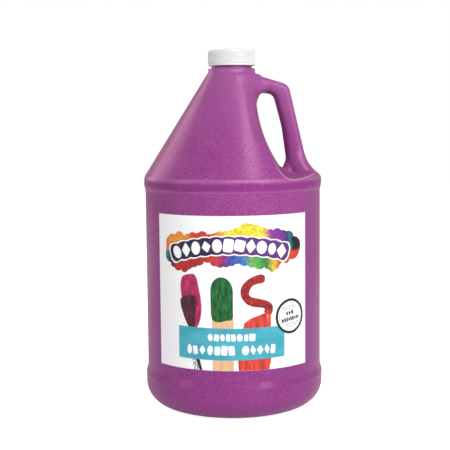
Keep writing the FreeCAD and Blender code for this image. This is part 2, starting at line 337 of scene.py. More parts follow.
def make_label_film():
    """White film with a slight gloss and a trace of the paper grain under it."""
    finish = Finish("label_film", **PRINT_GLOSS)
    where = finish.print_place()
    fibre = finish.cloud(finish.stretch(where, x=0.35), 0.8, detail=4.0)
    wave = finish.cloud(where, 30.0)
    colour = finish.mix(fibre * 0.6, paint_chip(251, 252, 253), paint_chip(243, 245, 247))
    finish.set(base_color=colour, roughness=0.42 + fibre * 0.1 + wave * 0.06,
               normal=finish.bump(fibre, 0.08, 0.05))
    return finish.material


def make_ink(name, deep, full, pale=None, across=1.0, up=1.0, size=2.0):
    """Printed paint: streaks between two or three tones, drawn out across or up."""
    finish = Finish(name, **PRINT_GLOSS)
    where = finish.print_place()
    streak = finish.cloud(finish.stretch(where, across, up), size, detail=5.0, rough=0.62)
    colour = finish.mix(finish.ease(streak, 0.36, 0.62), paint_chip(*deep), paint_chip(*full))
    if pale:
        colour = finish.mix(finish.ease(streak, 0.6, 0.74), colour, paint_chip(*pale))
    finish.set(base_color=colour, roughness=0.36 + streak * 0.1,
               normal=finish.bump(streak, 0.1, 0.05))
    return finish.material


def make_splash_ink():
    """Every colour of the range run together, in one row above and one below."""
    finish = Finish("splash_ink", **PRINT_GLOSS)
    where = finish.print_place()
    across, up, _ = finish.split(where)
    blur = finish.cloud(where, 6.0, detail=4.0, rough=0.6)
    half = 68.0
    along = (across + (blur - 0.5) * 9.0 + half) / (2 * half)

    def row(*stops):
        """Colours at their distances across, in millimetres from the label's middle."""
        placed = [((place + half) / (2 * half), paint_chip(*colour)) for place, colour in stops]
        return finish.node("ShaderNodeValToRGB", {"stops": placed}, {"Fac": along})

    orange, red, yellow = (240, 152, 42), (214, 44, 38), (240, 226, 52)
    purple, navy, black = (134, 46, 150), (44, 52, 112), (14, 16, 16)
    upper = row((-64, (222, 84, 44)), (-58, orange), (-42, orange), (-35, (216, 62, 40)),
                (-20, red), (-12, (236, 140, 44)), (-5, yellow), (23, yellow),
                (28, (222, 150, 120)), (31, purple), (40, purple), (46, navy),
                (50, (52, 130, 134)), (53, black), (64, black))
    lower = row((-64, (40, 142, 164)), (-59, (30, 96, 112)), (-56, (60, 22, 26)),
                (-52, (196, 36, 34)), (-30, (170, 34, 38)), (-16, (206, 62, 44)),
                (-9, (150, 40, 110)), (-3, (64, 78, 170)), (8, (52, 124, 196)),
                (14, (120, 176, 90)), (22, (60, 164, 62)), (28, (34, 128, 66)),
                (33, (238, 206, 56)), (38, (232, 98, 38)), (54, (214, 60, 36)))
    side = finish.ease(up + (blur - 0.5) * 5.0, 141.0, 143.5)
    colour = finish.mix(side, lower, upper)
    wash = finish.cloud(where, 3.2, detail=5.0, rough=0.7)
    tone = finish.mix(finish.ease(wash, 0.34, 0.56), (0.42, 0.36, 0.4, 1), (1, 1, 1, 1))
    colour = finish.mix(0.75, colour, tone, way="MULTIPLY")
    finish.set(base_color=colour, roughness=0.36 + wash * 0.1,
               normal=finish.bump(wash, 0.1, 0.05))
    return finish.material


def make_marbled_ink():
    """Black over white in flecks, as on the shaft of a painting brush, solid at its right side."""
    finish = Finish("marbled_ink", **PRINT_GLOSS)
    where = finish.print_place()
    across, up, _ = finish.split(where)
    fleck = finish.cloud(finish.stretch(where, y=0.6), 1.1, detail=2.0)
    shaded = finish.ease(across + (up - 45.0) * 0.26, -30.4, -28.6)
    black = finish.ease(fleck + shaded * 0.4 - 0.04, 0.46, 0.52)
    finish.set(base_color=finish.mix(black, paint_chip(240, 240, 242), paint_chip(14, 14, 16)),
               roughness=0.4 - black * 0.05)
    return finish.material


def make_plaque_ink():
    """The dark edge round the plaque, navy at the left and purple at the right."""
    finish = Finish("plaque_ink", **PRINT_GLOSS)
    where = finish.print_place()
    across = finish.split(where)[0]
    blur = finish.cloud(where, 4.0, detail=3.0)
    colour = finish.mix(finish.ease(across + (blur - 0.5) * 8.0, -32.0, 4.0),
                        paint_chip(24, 22, 58), paint_chip(94, 38, 118))
    finish.set(base_color=colour, roughness=0.36 + blur * 0.1)
    return finish.material


def make_floor_paper():
    """White backdrop paper that looks lit through but throws none of that light on the jug."""
    finish = Finish("floor_paper", roughness=0.9, ior=1.3, emission_strength=0.9)
    grain = finish.cloud(finish.place(), 40.0)
    seen = finish.node("ShaderNodeLightPath", out="Is Camera Ray")
    finish.set(base_color=finish.mix(grain, paint_chip(240, 240, 240), paint_chip(237, 237, 238)),
               emission_color=finish.mix(seen, (0, 0, 0, 1), (1, 1, 1, 1)))
    return finish.material


# ------------------------------------------------------------------ meshes

def add_object(name, data):
    piece = bpy.data.objects.new(name, data)
    bpy.context.scene.collection.objects.link(piece)
    return piece


def make_mesh(name, points, edges, faces):
    """A smooth-shaded mesh from points in millimetres."""
    mesh = bpy.data.meshes.new(name)
    mesh.from_pydata([tuple(c * MM for c in point) for point in points], edges, faces)
    mesh.polygons.foreach_set("use_smooth", [True] * len(mesh.polygons))
    return mesh


def add_piece(name, points, faces, finish):
    mesh = make_mesh(name, points, [], faces)
    mesh.materials.append(finish)
    return add_object(name, mesh)


def grow(piece, tree, **inputs):
    """Run a tree on a piece with values for its named inputs, and keep what it makes."""
    modifier = piece.modifiers.new("grow", "NODES")
    modifier.node_group = tree
    for item in tree.interface.items_tree:
        if item.name in inputs:
            modifier[item.identifier] = inputs[item.name]
    bpy.context.view_layer.update()
    shown = piece.evaluated_get(bpy.context.evaluated_depsgraph_get())
    mesh = bpy.data.meshes.new_from_object(shown)
    piece.modifiers.clear()
    piece.data = mesh
    mesh.polygons.foreach_set("use_smooth", [True] * len(mesh.polygons))
    return piece


class Growth(Bench):
    """A geometry tree with named inputs, whose result is made real and given a finish."""

    def __init__(self, name, **inputs):
        tree = bpy.data.node_groups.new(name, "GeometryNodeTree")
        super().__init__(tree)
        sockets = tree.interface
        sockets.new_socket("Geometry", in_out="INPUT", socket_type="NodeSocketGeometry")
        for label, kind in inputs.items():
            sockets.new_socket(label, in_out="INPUT", socket_type="NodeSocket" + kind)
        sockets.new_socket("Finish", in_out="INPUT", socket_type="NodeSocketMaterial")
        sockets.new_socket("Geometry", in_out="OUTPUT", socket_type="NodeSocketGeometry")
        self.given = self.node("NodeGroupInput")

    def input(self, label):
        return self.given.out(label)

    def end(self, geometry):
        real = self.node("GeometryNodeRealizeInstances", None, {"Geometry": geometry})
        done = self.node("GeometryNodeSetMaterial", None,
                         {"Geometry": real, "Material": self.input("Finish")})
        leave = self.tree.nodes.new("NodeGroupOutput")
        self.feed(leave.inputs[0], done)
        return self.tree


def make_seam_tree():
    """A round bead along the edges of the given mesh, thinning over a share at both ends."""
    tree = Growth("bead_on_edges", Radius="Float", Spacing="Float", Fade="Float")
    line = tree.node("GeometryNodeMeshToCurve", None, {"Mesh": tree.input("Geometry")})
    line = tree.node("GeometryNodeResampleCurve", {"mode": "LENGTH"},
                     {"Curve": line, "Length": tree.input("Spacing")})
    section = tree.node("GeometryNodeCurvePrimitiveCircle", None,
                        {"Resolution": 6, "Radius": tree.input("Radius")})
    share = tree.node("GeometryNodeSplineParameter", out="Factor")
    fade = (tree.ease(share, -0.01, tree.input("Fade"))
            * tree.ease(share, 1.01, 1 - tree.input("Fade")))
    return tree.end(tree.node("GeometryNodeCurveToMesh", None, {
        "Curve": line, "Profile Curve": section, "Scale": fade, "Fill Caps": True}))


def make_thread_tree():
    """A screw's ridge: a bead on a rising circle, thinning away at both ends."""
    tree = Growth("screw_ridge", Radius="Float", Height="Float", Pitch="Float", Turns="Float",
                  Start="Float", Thickness="Float")
    count = tree.math("ROUND", tree.input("Turns") * 90.0)
    line = tree.node("GeometryNodeCurvePrimitiveLine")
    line = tree.node("GeometryNodeResampleCurve", None, {"Curve": line, "Count": count})
    share = tree.node("GeometryNodeSplineParameter", out="Factor")
    turn = tree.input("Start") + share * tree.input("Turns") * (2 * math.pi)
    place = tree.node("ShaderNodeCombineXYZ", None, {
        "X": tree.math("COSINE", turn) * tree.input("Radius"),
        "Y": tree.math("SINE", turn) * tree.input("Radius"),
        "Z": tree.input("Height") + share * tree.input("Turns") * tree.input("Pitch")})
    line = tree.node("GeometryNodeSetPosition", None, {"Geometry": line, "Position": place})
    section = tree.node("GeometryNodeCurvePrimitiveCircle", None,
                        {"Resolution": 10, "Radius": tree.input("Thickness")})
    fade = tree.ease(share, -0.01, 0.07) * tree.ease(share, 1.01, 0.93)
    return tree.end(tree.node("GeometryNodeCurveToMesh", None, {
        "Curve": line, "Profile Curve": section, "Scale": fade, "Fill Caps": True}))


def make_ring_tree():
    """Copies of the given mesh, which stands on the X axis, turned evenly round the Z axis."""
    tree = Growth("ring_of_copies", Count="Int")
    points = tree.node("GeometryNodeMeshLine", None,
                       {"Count": tree.input("Count"), "Offset": (0, 0, 0)})
    index = tree.node("GeometryNodeInputIndex")
    turn = tree.node("ShaderNodeCombineXYZ", None,
                     {"Z": index * (2 * math.pi) / tree.input("Count")})
    return tree.end(tree.node("GeometryNodeInstanceOnPoints", None, {
        "Points": points, "Instance": tree.input("Geometry"), "Rotation": turn}))


def keep_creases(bm, angle=38.0):
    """Let edges sharper than an angle stay crisp on a smooth mesh."""
    for edge in bm.edges:
        edge.smooth = edge.calc_face_angle(0) < math.radians(angle)


def join(name, *pieces):
    """One mesh from several, each part keeping its own finish."""
    finishes = []
    bm = bmesh.new()
    for piece in pieces:
        before = len(bm.faces)
        bm.from_mesh(piece.data)
        bm.faces.ensure_lookup_table()
        own = list(piece.data.materials)
        finishes += [finish for finish in own if finish not in finishes]
        for face in bm.faces[before:]:
            face.material_index = finishes.index(own[face.material_index])
    keep_creases(bm)
    target = pieces[0]
    target.data = bpy.data.meshes.new(name)
    bm.to_mesh(target.data)
    bm.free()
    for finish in finishes:
        target.data.materials.append(finish)
    for piece in pieces[1:]:
        bpy.data.objects.remove(piece)
    target.name = name
    return target


def rounded_line(corners, step=9.0):
    """Points of a line through (across, up, rounding) corners, with arcs at the roundings."""
    line = []
    for i, (x, z, *rounding) in enumerate(corners):
        here = Vector((x, z))
        if not rounding:
            line.append(here)
            continue
        back = (Vector(corners[i - 1][:2]) - here).normalized()
        ahead = (Vector(corners[i + 1][:2]) - here).normalized()
        half = back.angle(ahead) / 2
        centre = here + (back + ahead).normalized() * (rounding[0] / math.sin(half))
        start = here + back * (rounding[0] / math.tan(half)) - centre
        turn = start.angle_signed(here + ahead * (rounding[0] / math.tan(half)) - centre)
        pieces = max(2, math.ceil(abs(math.degrees(turn)) / step))
        for k in range(pieces + 1):
            line.append(centre + Matrix.Rotation(-turn * k / pieces, 2) @ start)
    return [(point.x, point.y) for point in line]


def even_line(line, longest):
    """The same line with its long runs divided."""
    out = [line[0]]
    for start, end in zip(line, line[1:]):
        pieces = max(1, math.ceil(math.dist(start, end) / longest))
        for k in range(1, pieces + 1):
            share = k / pieces
            out.append((start[0] + (end[0] - start[0]) * share,
                        start[1] + (end[1] - start[1]) * share))
    return out


def lathe(name, line, finish, segments=160):
    """Turn a (radius, height) line round the axis; a radius of 0 becomes a pole."""
    points, rings, faces = [], [], []
    for radius, height in line:
        count = 1 if radius < 1e-6 else segments
        rings.append([len(points) + k for k in range(count)])
        for k in range(count):
            angle = 2 * math.pi * k / segments
            points.append((radius * math.cos(angle), radius * math.sin(angle), height))
    for lower, upper in zip(rings, rings[1:]):
        for k in range(segments):
            a, b = lower[k % len(lower)], lower[(k + 1) % len(lower)]
            c, d = upper[(k + 1) % len(upper)], upper[k % len(upper)]
            faces.append(tuple(dict.fromkeys((a, b, c, d))))
    return add_piece(name, points, faces, finish)


# ------------------------------------------------------------------ jug

NET_LOW, NET_HIGH = 185.0, 289.0
NET_CELL = 1.3

BASE_LINE = [
    (0, 5.0), (36.0, 5.0, 3.0), (44.0, 0, 2.2), (52.0, 0, 4.2), (BUMPER - 0.2, 4.0, 20.0),
    (BUMPER - 0.2, 27.6, 0.5), (BUMPER, 28.2, 0.5), (BUMPER, 29.6, 0.7), (PANEL, 35.0, 2.0),
    (PANEL, NET_LOW),
]
SHOULDER_LINE = [
    (PANEL, 0.0), (PANEL, 188.7, 2.5), (CONE_CORNER[0], 193.0, 3.0), (*CONE_CORNER, 8.0),
    CONE_TOP,
]
NECK_LINE = [
    CONE_TOP, (CONE_TOP[0], 292.9, 0.7), (17.4, 293.0), (17.4, NECK_TOP, 0.4),
    (15.0, NECK_TOP, 0.3), (15.0, 290.0, 1.0), (0, 289.0),
]

# The handle's outline in the plane y = 0: its finger side downwards, then, hidden in the
# shoulder, across to the back and up along that. Both ends are hidden in the cone.
HANDLE_LINE = [
    (2.0, 275.7), (35.8, 270.7, 6.5), (43.0, 243.5, 60.0), (47.0, 214.5, 10.0),
    (41.0, 199.0), (48.0, 180.0), (66.0, 180.0), (75.5, 199.8, 8.0), (63.9, 213.0, 28.0),
    (48.8, 278.7, 9.0), (2.0, 293.1),
]
HANDLE_HALF_DEPTH = 9.6
HANDLE_ROUNDING = 4.6
HANDLE_RIDGE = 4.5
HANDLE_HOLLOW = 0.035

# The recess wall drops upright from the neck, bends on an arc and leans out to its floor.
RECESS_LEFT = 20.7
RECESS_BEND = 118.0
RECESS_BEND_START = 274.8
RECESS_LEAN = math.radians(35.4)
RECESS_FLOOR = 197.4
RECESS_RISE = 0.1
RECESS_DRAFT = math.tan(math.radians(3.5))

SEAM_RADIUS = 0.22
RIM_RADIUS = 0.5
RIM_SINK = 0.2
RIM_REACH = (60.5, 15.0)


def greater(a, b, rounding):
    """The greater of two distances, with the edge between them rounded."""
    return (np.minimum(-rounding, np.maximum(a, b))
            + np.hypot(np.maximum(a + rounding, 0), np.maximum(b + rounding, 0)))


def ease(value, start, end):
    """0 at start, 1 at end and smooth between them."""
    t = np.clip((value - start) / (end - start), 0, 1)
    return t * t * (3 - 2 * t)


shoulder = np.array(rounded_line(SHOULDER_LINE, 3.0))
cone_slant = (CONE_TOP[1] - CONE_CORNER[1]) / math.dist(CONE_TOP, CONE_CORNER)
handle_line = np.array(rounded_line(HANDLE_LINE, 10.0))
turning_point = int(np.argmax(handle_line[:, 0]))
handle_front, handle_back = handle_line[:turning_point + 1], handle_line[turning_point:]


def line_distance(x, z, line):
    """Distance to an open line of points."""
    nearest = np.full(x.shape, 1e9)
    for start, end in zip(line, line[1:]):
        run = end - start
        share = np.clip(((x - start[0]) * run[0] + (z - start[1]) * run[1]) / (run @ run), 0, 1)
        away = np.hypot(x - start[0] - share * run[0], z - start[1] - share * run[1])
        nearest = np.minimum(nearest, away)
    return nearest


def is_inside(x, z, outline):
    """Whether points lie inside a closed outline."""
    inside = np.zeros(x.shape, bool)
    for start, end in zip(outline, np.roll(outline, -1, 0)):
        run = end - start
        if run[1]:
            level = (start[1] <= z) != (end[1] <= z)
            inside ^= level & (x < start[0] + (z - start[1]) * run[0] / run[1])
    return inside


def handle_distance(x, y, z):
    """Distance to the handle: its outline given depth, wide at the foot.

    A ridge follows its back on either face, and from there the face falls to the fingers.
    """
    from_back = line_distance(x, z, handle_back)
    depth = HANDLE_HALF_DEPTH + 1.8 * ease(x, 15.0, 42.0) + 6.0 * ease(z, 228.0, 198.0)
    depth = depth - HANDLE_HOLLOW * np.clip(from_back - HANDLE_RIDGE, 0, 11.0) ** 2
    edge = np.minimum(from_back, line_distance(x, z, handle_front))
    across = np.where(is_inside(x, z, handle_line), -edge, edge)
    return greater(across, np.abs(y) - depth, HANDLE_ROUNDING)


def recess_distance(x, y, z):
    """Distance to the finger recess beside the handle, negative inside it."""
    widening = (np.hypot(y, 10.0) - 10.0) * RECESS_DRAFT
    drop = np.clip(RECESS_BEND_START - z, 0, RECESS_BEND * math.sin(RECESS_LEAN))
    wall = RECESS_LEFT + RECESS_BEND - np.sqrt(RECESS_BEND ** 2 - drop ** 2)
    below = np.maximum(RECESS_BEND_START - RECESS_BEND * math.sin(RECESS_LEAN) - z, 0)
    wall = wall + below * math.tan(RECESS_LEAN)
    lean = np.sqrt(1 - (drop / RECESS_BEND) ** 2)
    beside = (wall - x) * lean - widening
    under = RECESS_FLOOR + RECESS_RISE * x - z - widening
    return greater(beside, under, 8.0)


def jug_distance(x, y, z):
    """Distance to the jug from the panel to the neck, negative inside it.

    The recess has a crisp edge low down and a soft one by the neck, and the handle runs
    into the cone with a wider fillet than into the shoulder.
    """
    outside = np.hypot(x, y) - np.interp(z, shoulder[:, 1], shoulder[:, 0])
    outside = outside * np.where(z > CONE_CORNER[1], cone_slant, 1.0)
    edge = 1.3 + 6.0 * ease(z, 208.0, 245.0) + 5.0 * ease(x, 60.0, 73.0)
    jug = greater(outside, -recess_distance(x, y, z), edge)
    near = (x > 0) & (np.abs(y) < 30)
    bar = np.full(x.shape, 50.0)    # anything far: the handle is worked out only near it
    bar[near] = handle_distance(x[near], y[near], z[near])
    fillet = 2.5 + 5.5 * ease(z, 232.0, 268.0)
    fillet = fillet + 9.0 * ease(z, 240.0, 268.0) * ease(np.abs(y), 3.0, 11.0)
    return -greater(-jug, -bar, fillet)


def net_surface(distance, low, high, cell):
    """A quad net over the zero level: one corner in each grid cell that the level crosses."""
    axes = [np.arange(a, b + cell / 2, cell) for a, b in zip(low, high)]
    inside = distance(*np.meshgrid(*axes, indexing="ij")) < 0
    ends = (slice(None, -1), slice(1, None))
    filled = sum(inside[i, j, k].astype(int) for i in ends for j in ends for k in ends)
    crossed = (filled > 0) & (filled < 8)
    number = np.full(crossed.shape, -1)
    number[crossed] = np.arange(crossed.sum())
    cells = np.argwhere(crossed)
    faces = []
    for axis in range(3):
        order = (axis, (axis + 1) % 3, (axis + 2) % 3)
        solid, corner = inside.transpose(order), number.transpose(order)
        change = solid[1:] != solid[:-1]
        change[:, [0, -1], :] = False
        change[:, :, [0, -1]] = False
        i, j, k = np.nonzero(change)
        ring = np.stack([corner[i, j - 1, k - 1], corner[i, j, k - 1], corner[i, j, k],
                         corner[i, j - 1, k]], axis=1)
        inward = ~solid[i, j, k]
        ring[inward] = ring[inward, ::-1]
        faces.append(ring)
    rim = (cells[:, 2] == 0) | (cells[:, 2] == crossed.shape[2] - 1)
    points = np.array(low) + (cells + 0.5) * cell
    return points, np.concatenate(faces), rim


def pull_onto(distance, points, free):
    """Move points along the slope of a distance until they lie on its zero level."""
    for _ in range(3):
        x, y, z = points[free].T
        here = distance(x, y, z)
        reach = 0.03
        slope = np.stack([distance(x + reach, y, z) - distance(x - reach, y, z),
                          distance(x, y + reach, z) - distance(x, y - reach, z),
                          distance(x, y, z + reach) - distance(x, y, z - reach)], 1)
        slope /= 2 * reach
        steep = np.maximum((slope ** 2).sum(1), 0.05)
        step = np.clip(here / steep, -1.5, 1.5)
        points[free] -= slope * step[:, None]


def even_out(points, faces, free):
    """Move each free point halfway to the middle of its neighbours."""
    pairs = np.concatenate([faces[:, [k, (k + 1) % 4]] for k in range(4)])
    pairs = np.concatenate([pairs, pairs[:, ::-1]])
    total = np.stack([np.bincount(pairs[:, 0], points[pairs[:, 1], k], len(points))
                      for k in range(3)], 1)
    count = np.bincount(pairs[:, 0], minlength=len(points))[:, None]
    points[free] = (points[free] + (total / np.maximum(count, 1))[free]) / 2


def turn_ring(bm, edges, line):
    """Carry an open ring on round the axis through (radius, height) points, to a pole."""
    for radius, height in line:
        made = bmesh.ops.extrude_edge_only(bm, edges=edges)["geom"]
        ring = [part for part in made if isinstance(part, bmesh.types.BMVert)]
        edges = [part for part in made
                 if isinstance(part, bmesh.types.BMEdge) and part.is_boundary]
        for vert in ring:
            out = Vector((vert.co.x, vert.co.y, 0)).normalized() * max(radius, 0.01) * MM
            vert.co = (out.x, out.y, height * MM)
    bmesh.ops.pointmerge(bm, verts=ring, merge_co=(0, 0, line[-1][1] * MM))


def make_form(name, distance, wall, cell, base, top, finish):
    """A net over shoulder, recess and handle, turned on down the base line and up the top line.

    Wall is how far the form lies inside the jug's outside where the net ends.
    """
    reach = PANEL + 4 * cell
    points, faces, rim = net_surface(distance, (-reach, -reach, NET_LOW),
                                     (reach, reach, NET_HIGH), cell)
    for _ in range(3):
        pull_onto(distance, points, ~rim)
        even_out(points, faces, ~rim)
    pull_onto(distance, points, ~rim)
    wanted = np.interp(points[rim, 2], shoulder[:, 1], shoulder[:, 0]) - wall
    points[rim, :2] *= (wanted / np.hypot(points[rim, 0], points[rim, 1]))[:, None]

    piece = add_piece(name, points, faces.tolist(), finish)
    bm = bmesh.new()
    bm.from_mesh(piece.data)
    middle = (NET_LOW + NET_HIGH) / 2 * MM
    open_edges = [edge for edge in bm.edges if edge.is_boundary]
    turn_ring(bm, [edge for edge in open_edges if edge.verts[0].co.z < middle], base)
    if top:
        turn_ring(bm, [edge for edge in open_edges if edge.verts[0].co.z > middle], top)
    bmesh.ops.recalc_face_normals(bm, faces=bm.faces)
    for face in bm.faces:
        face.smooth = True
    bm.to_mesh(piece.data)
    bm.free()
    return piece


def make_jug(finish):
    """The outside of the jug, closed by the floor of its mouth."""
    return make_form("jug_body", jug_distance, 0.0, NET_CELL,
                     even_line(rounded_line(BASE_LINE)[::-1], 9.0),
                     even_line(rounded_line(NECK_LINE), 4.0), finish)


def make_paint(finish):
    """What fills the jug up to its level, a wall's thickness inside it."""
    level = node_box("paint_fill")[1].z

    def paint_distance(x, y, z):
        return greater(jug_distance(x, y, z) + WALL, z - level, 0.5)

    line = [(0, 5.0 + WALL), (36.0, 5.0 + WALL, 3.0), (44.5, WALL, 2.0), (51.5, WALL, 3.0),
            (BUMPER - WALL, 4.0 + WALL, 19.0), (BUMPER - WALL, 29.0, 2.0),
            (PANEL - WALL, 35.0, 2.0), (PANEL - WALL, NET_LOW)]
    return make_form("paint", paint_distance, WALL, 2.6,
                     even_line(rounded_line(line)[::-1], 12.0), None, finish)


def make_parting_line(jug, finish):
    """The fine seam that the two halves of the mould leave on the jug, in the plane y = 0."""
    bm = bmesh.new()
    bm.from_mesh(jug.data)
    cut = bmesh.ops.bisect_plane(bm, geom=bm.verts[:] + bm.edges[:] + bm.faces[:],
                                 plane_co=(0, 0, 0), plane_no=(0, 1, 0), dist=1e-6)["geom_cut"]
    low, high = 2.5 * MM, CONE_TOP[1] * MM
    widest = (BUMPER - SEAM_RADIUS) * MM
    kept = {part for part in cut if isinstance(part, bmesh.types.BMEdge)
            and all(low < vert.co.z < high for vert in part.verts)}
    bmesh.ops.delete(bm, geom=bm.faces[:], context="FACES_ONLY")
    bmesh.ops.delete(bm, geom=[edge for edge in bm.edges if edge not in kept], context="EDGES")
    bmesh.ops.delete(bm, geom=[vert for vert in bm.verts if not vert.link_edges],
                     context="VERTS")
    for vert in bm.verts:
        vert.co.x = max(-widest, min(widest, vert.co.x))
    mesh = bpy.data.meshes.new("parting_line")
    bm.to_mesh(mesh)
    bm.free()
    return grow(add_object("parting_line", mesh), make_seam_tree(), Radius=SEAM_RADIUS * MM,
                Spacing=2.0 * MM, Fade=0.02, Finish=finish)


def make_recess_rim(side, finish):
    """The fine raised edge where the recess cuts the shoulder, on one side of the mould."""
    turns = np.radians(np.linspace(*RIM_REACH, 60))
    low, high = np.full(turns.shape, 196.0), np.full(turns.shape, 250.0)
    for _ in range(30):    # halve the gap round the height at which the recess begins
        level = (low + high) / 2
        reach = np.interp(level, shoulder[:, 1], shoulder[:, 0])
        cut = recess_distance(reach * np.cos(turns), reach * np.sin(turns), level) < 0
        low, high = np.where(cut, low, level), np.where(cut, level, high)
    points = [((radius - RIM_SINK) * math.cos(turn), side * (radius - RIM_SINK) * math.sin(turn),
               height - RIM_SINK) for radius, turn, height in zip(reach, turns, level)]
    mesh = make_mesh("recess_rim", points, [(k, k + 1) for k in range(len(points) - 1)], [])
    return grow(add_object("recess_rim", mesh), make_seam_tree(), Radius=RIM_RADIUS * MM,
                Spacing=1.5 * MM, Fade=0.16, Finish=finish)


# ------------------------------------------------------------------ neck and closure

PITCH = 4.233
TURNS = 1.5
NECK_RADIUS = 17.4
CAP_RADIUS = cap_high.x - 0.45
CAP_BORE = 18.95
CAP_RIBS = 120


def make_ridge(name, radius, height, start, thickness, finish):
    """One screw ridge whose middle line starts at a height and an angle in degrees."""
    return grow(add_object(name, bpy.data.meshes.new(name)), make_thread_tree(), Radius=radius * MM,
                Height=height * MM, Pitch=PITCH * MM, Turns=TURNS, Start=math.radians(start),
                Thickness=thickness * MM, Finish=finish)


def make_rib(finish):
    """One grip rib of the cap, standing on the X axis, with sloping ends."""
    foot, top = cap_low.z + 1.3, cap_high.z - 1.5
    root, crest = CAP_RADIUS - 0.15, cap_high.x - 0.02
    points = []
    for height, radius, half in ((foot, root, 0.36), (foot + 0.5, crest, 0.2),
                                 (top - 0.6, crest, 0.2), (top, root, 0.36)):
        points += [(root, -0.4, height), (radius, -half, height), (radius, half, height),
                   (root, 0.4, height)]
    faces = [(0, 1, 2, 3), (15, 14, 13, 12)]
    for row in (0, 4, 8):
        faces += [(row + k, row + 4 + k, row + 4 + (k + 1) % 4, row + (k + 1) % 4)
                  for k in range(4)]
    return add_piece("rib", points, faces, finish)


def make_cap(finish):
    """Screw cap: a turned cup with a sunk top, a ring of ribs and one ridge inside."""
    low, high = cap_low.z, cap_high.z
    ceiling = liner_high.z
    cup = lathe("cup", even_line(rounded_line([
        (0, ceiling), (CAP_BORE, ceiling, 0.6), (CAP_BORE, low + 0.5), (CAP_BORE + 0.3, low),
        (CAP_RADIUS + 0.15, low, 0.15), (CAP_RADIUS + 0.15, low + 1.0, 0.2),
        (CAP_RADIUS - 0.05, low + 1.3, 0.2), (CAP_RADIUS - 0.05, high - 1.6),
        (CAP_RADIUS - 0.02, high, 1.3), (CAP_RADIUS - 4.4, high, 0.3),
        (CAP_RADIUS - 4.8, high - 0.35, 0.3), (2.2, high - 0.35, 0.3), (1.9, high - 0.7, 0.2),
        (0, high - 0.7)], 15.0), 4.0), finish)
    ribs = grow(make_rib(finish), make_ring_tree(), Count=CAP_RIBS, Finish=finish)
    ridge = make_ridge("ridge", CAP_BORE, 296.75, 108.0, 1.1, finish)
    return join("cap", cup, ribs, ridge)


# ------------------------------------------------------------------ labels

INK_STEP = 0.03
FILM_DEPTH = 0.2
INK_DEPTH = 0.01
STRIP = 2.5

# The plaque's band lies between two radii round a middle far below it; turns in degrees.
ARCH = (-3.0, -17.0)
ARCH_LOW, ARCH_HIGH = 157.9, 172.8
ARCH_START, ARCH_END = -18.9, 17.9
BADGE = (49.7, 87.5)
BADGE_NOTCHES = 84
SQUARE, OVAL, DIAMOND = 0.35, 1.0, 1.8


def press(name, outlines, layer, finish, facing=1):
    """Flat outlines, in millimetres across and up, as a thin skin wrapped on the panel.

    Layer 0 is the film; each layer above it is an ink. Facing is 1 in front, -1 behind.
    """
    bm = bmesh.new()
    for outline in outlines:
        bm.faces.new([bm.verts.new((across, up, 0)) for across, up in outline])
    bmesh.ops.triangulate(bm, faces=bm.faces[:])
    reach = [vert.co.x for vert in bm.verts]
    for k in range(math.floor(min(reach) / STRIP) + 1, math.ceil(max(reach) / STRIP)):
        bmesh.ops.bisect_plane(bm, geom=bm.verts[:] + bm.edges[:] + bm.faces[:],
                               plane_co=(k * STRIP, 0, 0), plane_no=(1, 0, 0), dist=1e-4)
    sheet = bm.loops.layers.uv.new("print")
    for face in bm.faces:
        for loop in face.loops:
            loop[sheet].uv = loop.vert.co.xy / 100
    made = bmesh.ops.extrude_face_region(bm, geom=bm.faces[:])["geom"]
    raised = {part for part in made if isinstance(part, bmesh.types.BMVert)}
    for vert in bm.verts:
        if vert in raised:
            radius = LABEL_RADIUS + layer * INK_STEP
        else:
            radius = LABEL_RADIUS - (INK_DEPTH if layer else FILM_DEPTH)
        turn = vert.co.x / LABEL_RADIUS
        vert.co = Vector((math.sin(turn) * radius * facing, -math.cos(turn) * radius * facing,
                          vert.co.y)) * MM
    bmesh.ops.recalc_face_normals(bm, faces=bm.faces[:])
    for face in bm.faces:
        face.smooth = True
    keep_creases(bm)
    mesh = bpy.data.meshes.new(name)
    bm.to_mesh(mesh)
    bm.free()
    mesh.materials.append(finish)
    return add_object(name, mesh)


def smooth_loop(points, steps=5, closed=True):
    """A Catmull-Rom curve through points."""
    count = len(points)
    if closed:
        held = np.array([points[-1], *points, points[0], points[1]], float)
    else:
        held = np.array([points[0], *points, points[-1]], float)
        count -= 1
    out = []
    for a, b, c, d in list(zip(held, held[1:], held[2:], held[3:]))[:count]:
        for k in range(steps):
            t = k / steps
            out.append(tuple(0.5 * (2 * b + (c - a) * t + (2 * a - 5 * b + 4 * c - d) * t ** 2
                                    + (3 * b - a - 3 * c + d) * t ** 3)))
    return out if closed else [*out, tuple(held[-1])]


def box_outline(left, low, right, high):
    return [(left, low), (right, low), (right, high), (left, high)]


def pebble(across, up, wide, tall, tilt=0.0, form=OVAL, points=18):
    """A block whose form goes from a rounded square through an oval to a diamond."""
    out = []
    for k in range(points):
        turn = 2 * math.pi * k / points
        x = math.copysign(abs(math.cos(turn)) ** form, math.cos(turn)) * wide / 2
        y = math.copysign(abs(math.sin(turn)) ** form, math.sin(turn)) * tall / 2
        out.append((across + x * math.cos(tilt) - y * math.sin(tilt),
                    up + x * math.sin(tilt) + y * math.cos(tilt)))
    return out


def pebble_row(count, left, right, low, high, dice):
    """Blocks of uneven width in a row, in place of a word."""
    shares = [dice.uniform(0.8, 1.2) for _ in range(count)]
    across, out = left, []
    for share in shares:
        wide = (right - left) * share / sum(shares)
        tall = (high - low) * dice.uniform(0.86, 1.0)
        out.append(pebble(across + wide / 2, low + tall / 2, wide * dice.uniform(0.72, 0.9), tall,
                          dice.uniform(-0.15, 0.15), dice.choice((SQUARE, OVAL, DIAMOND))))
        across += wide
    return out


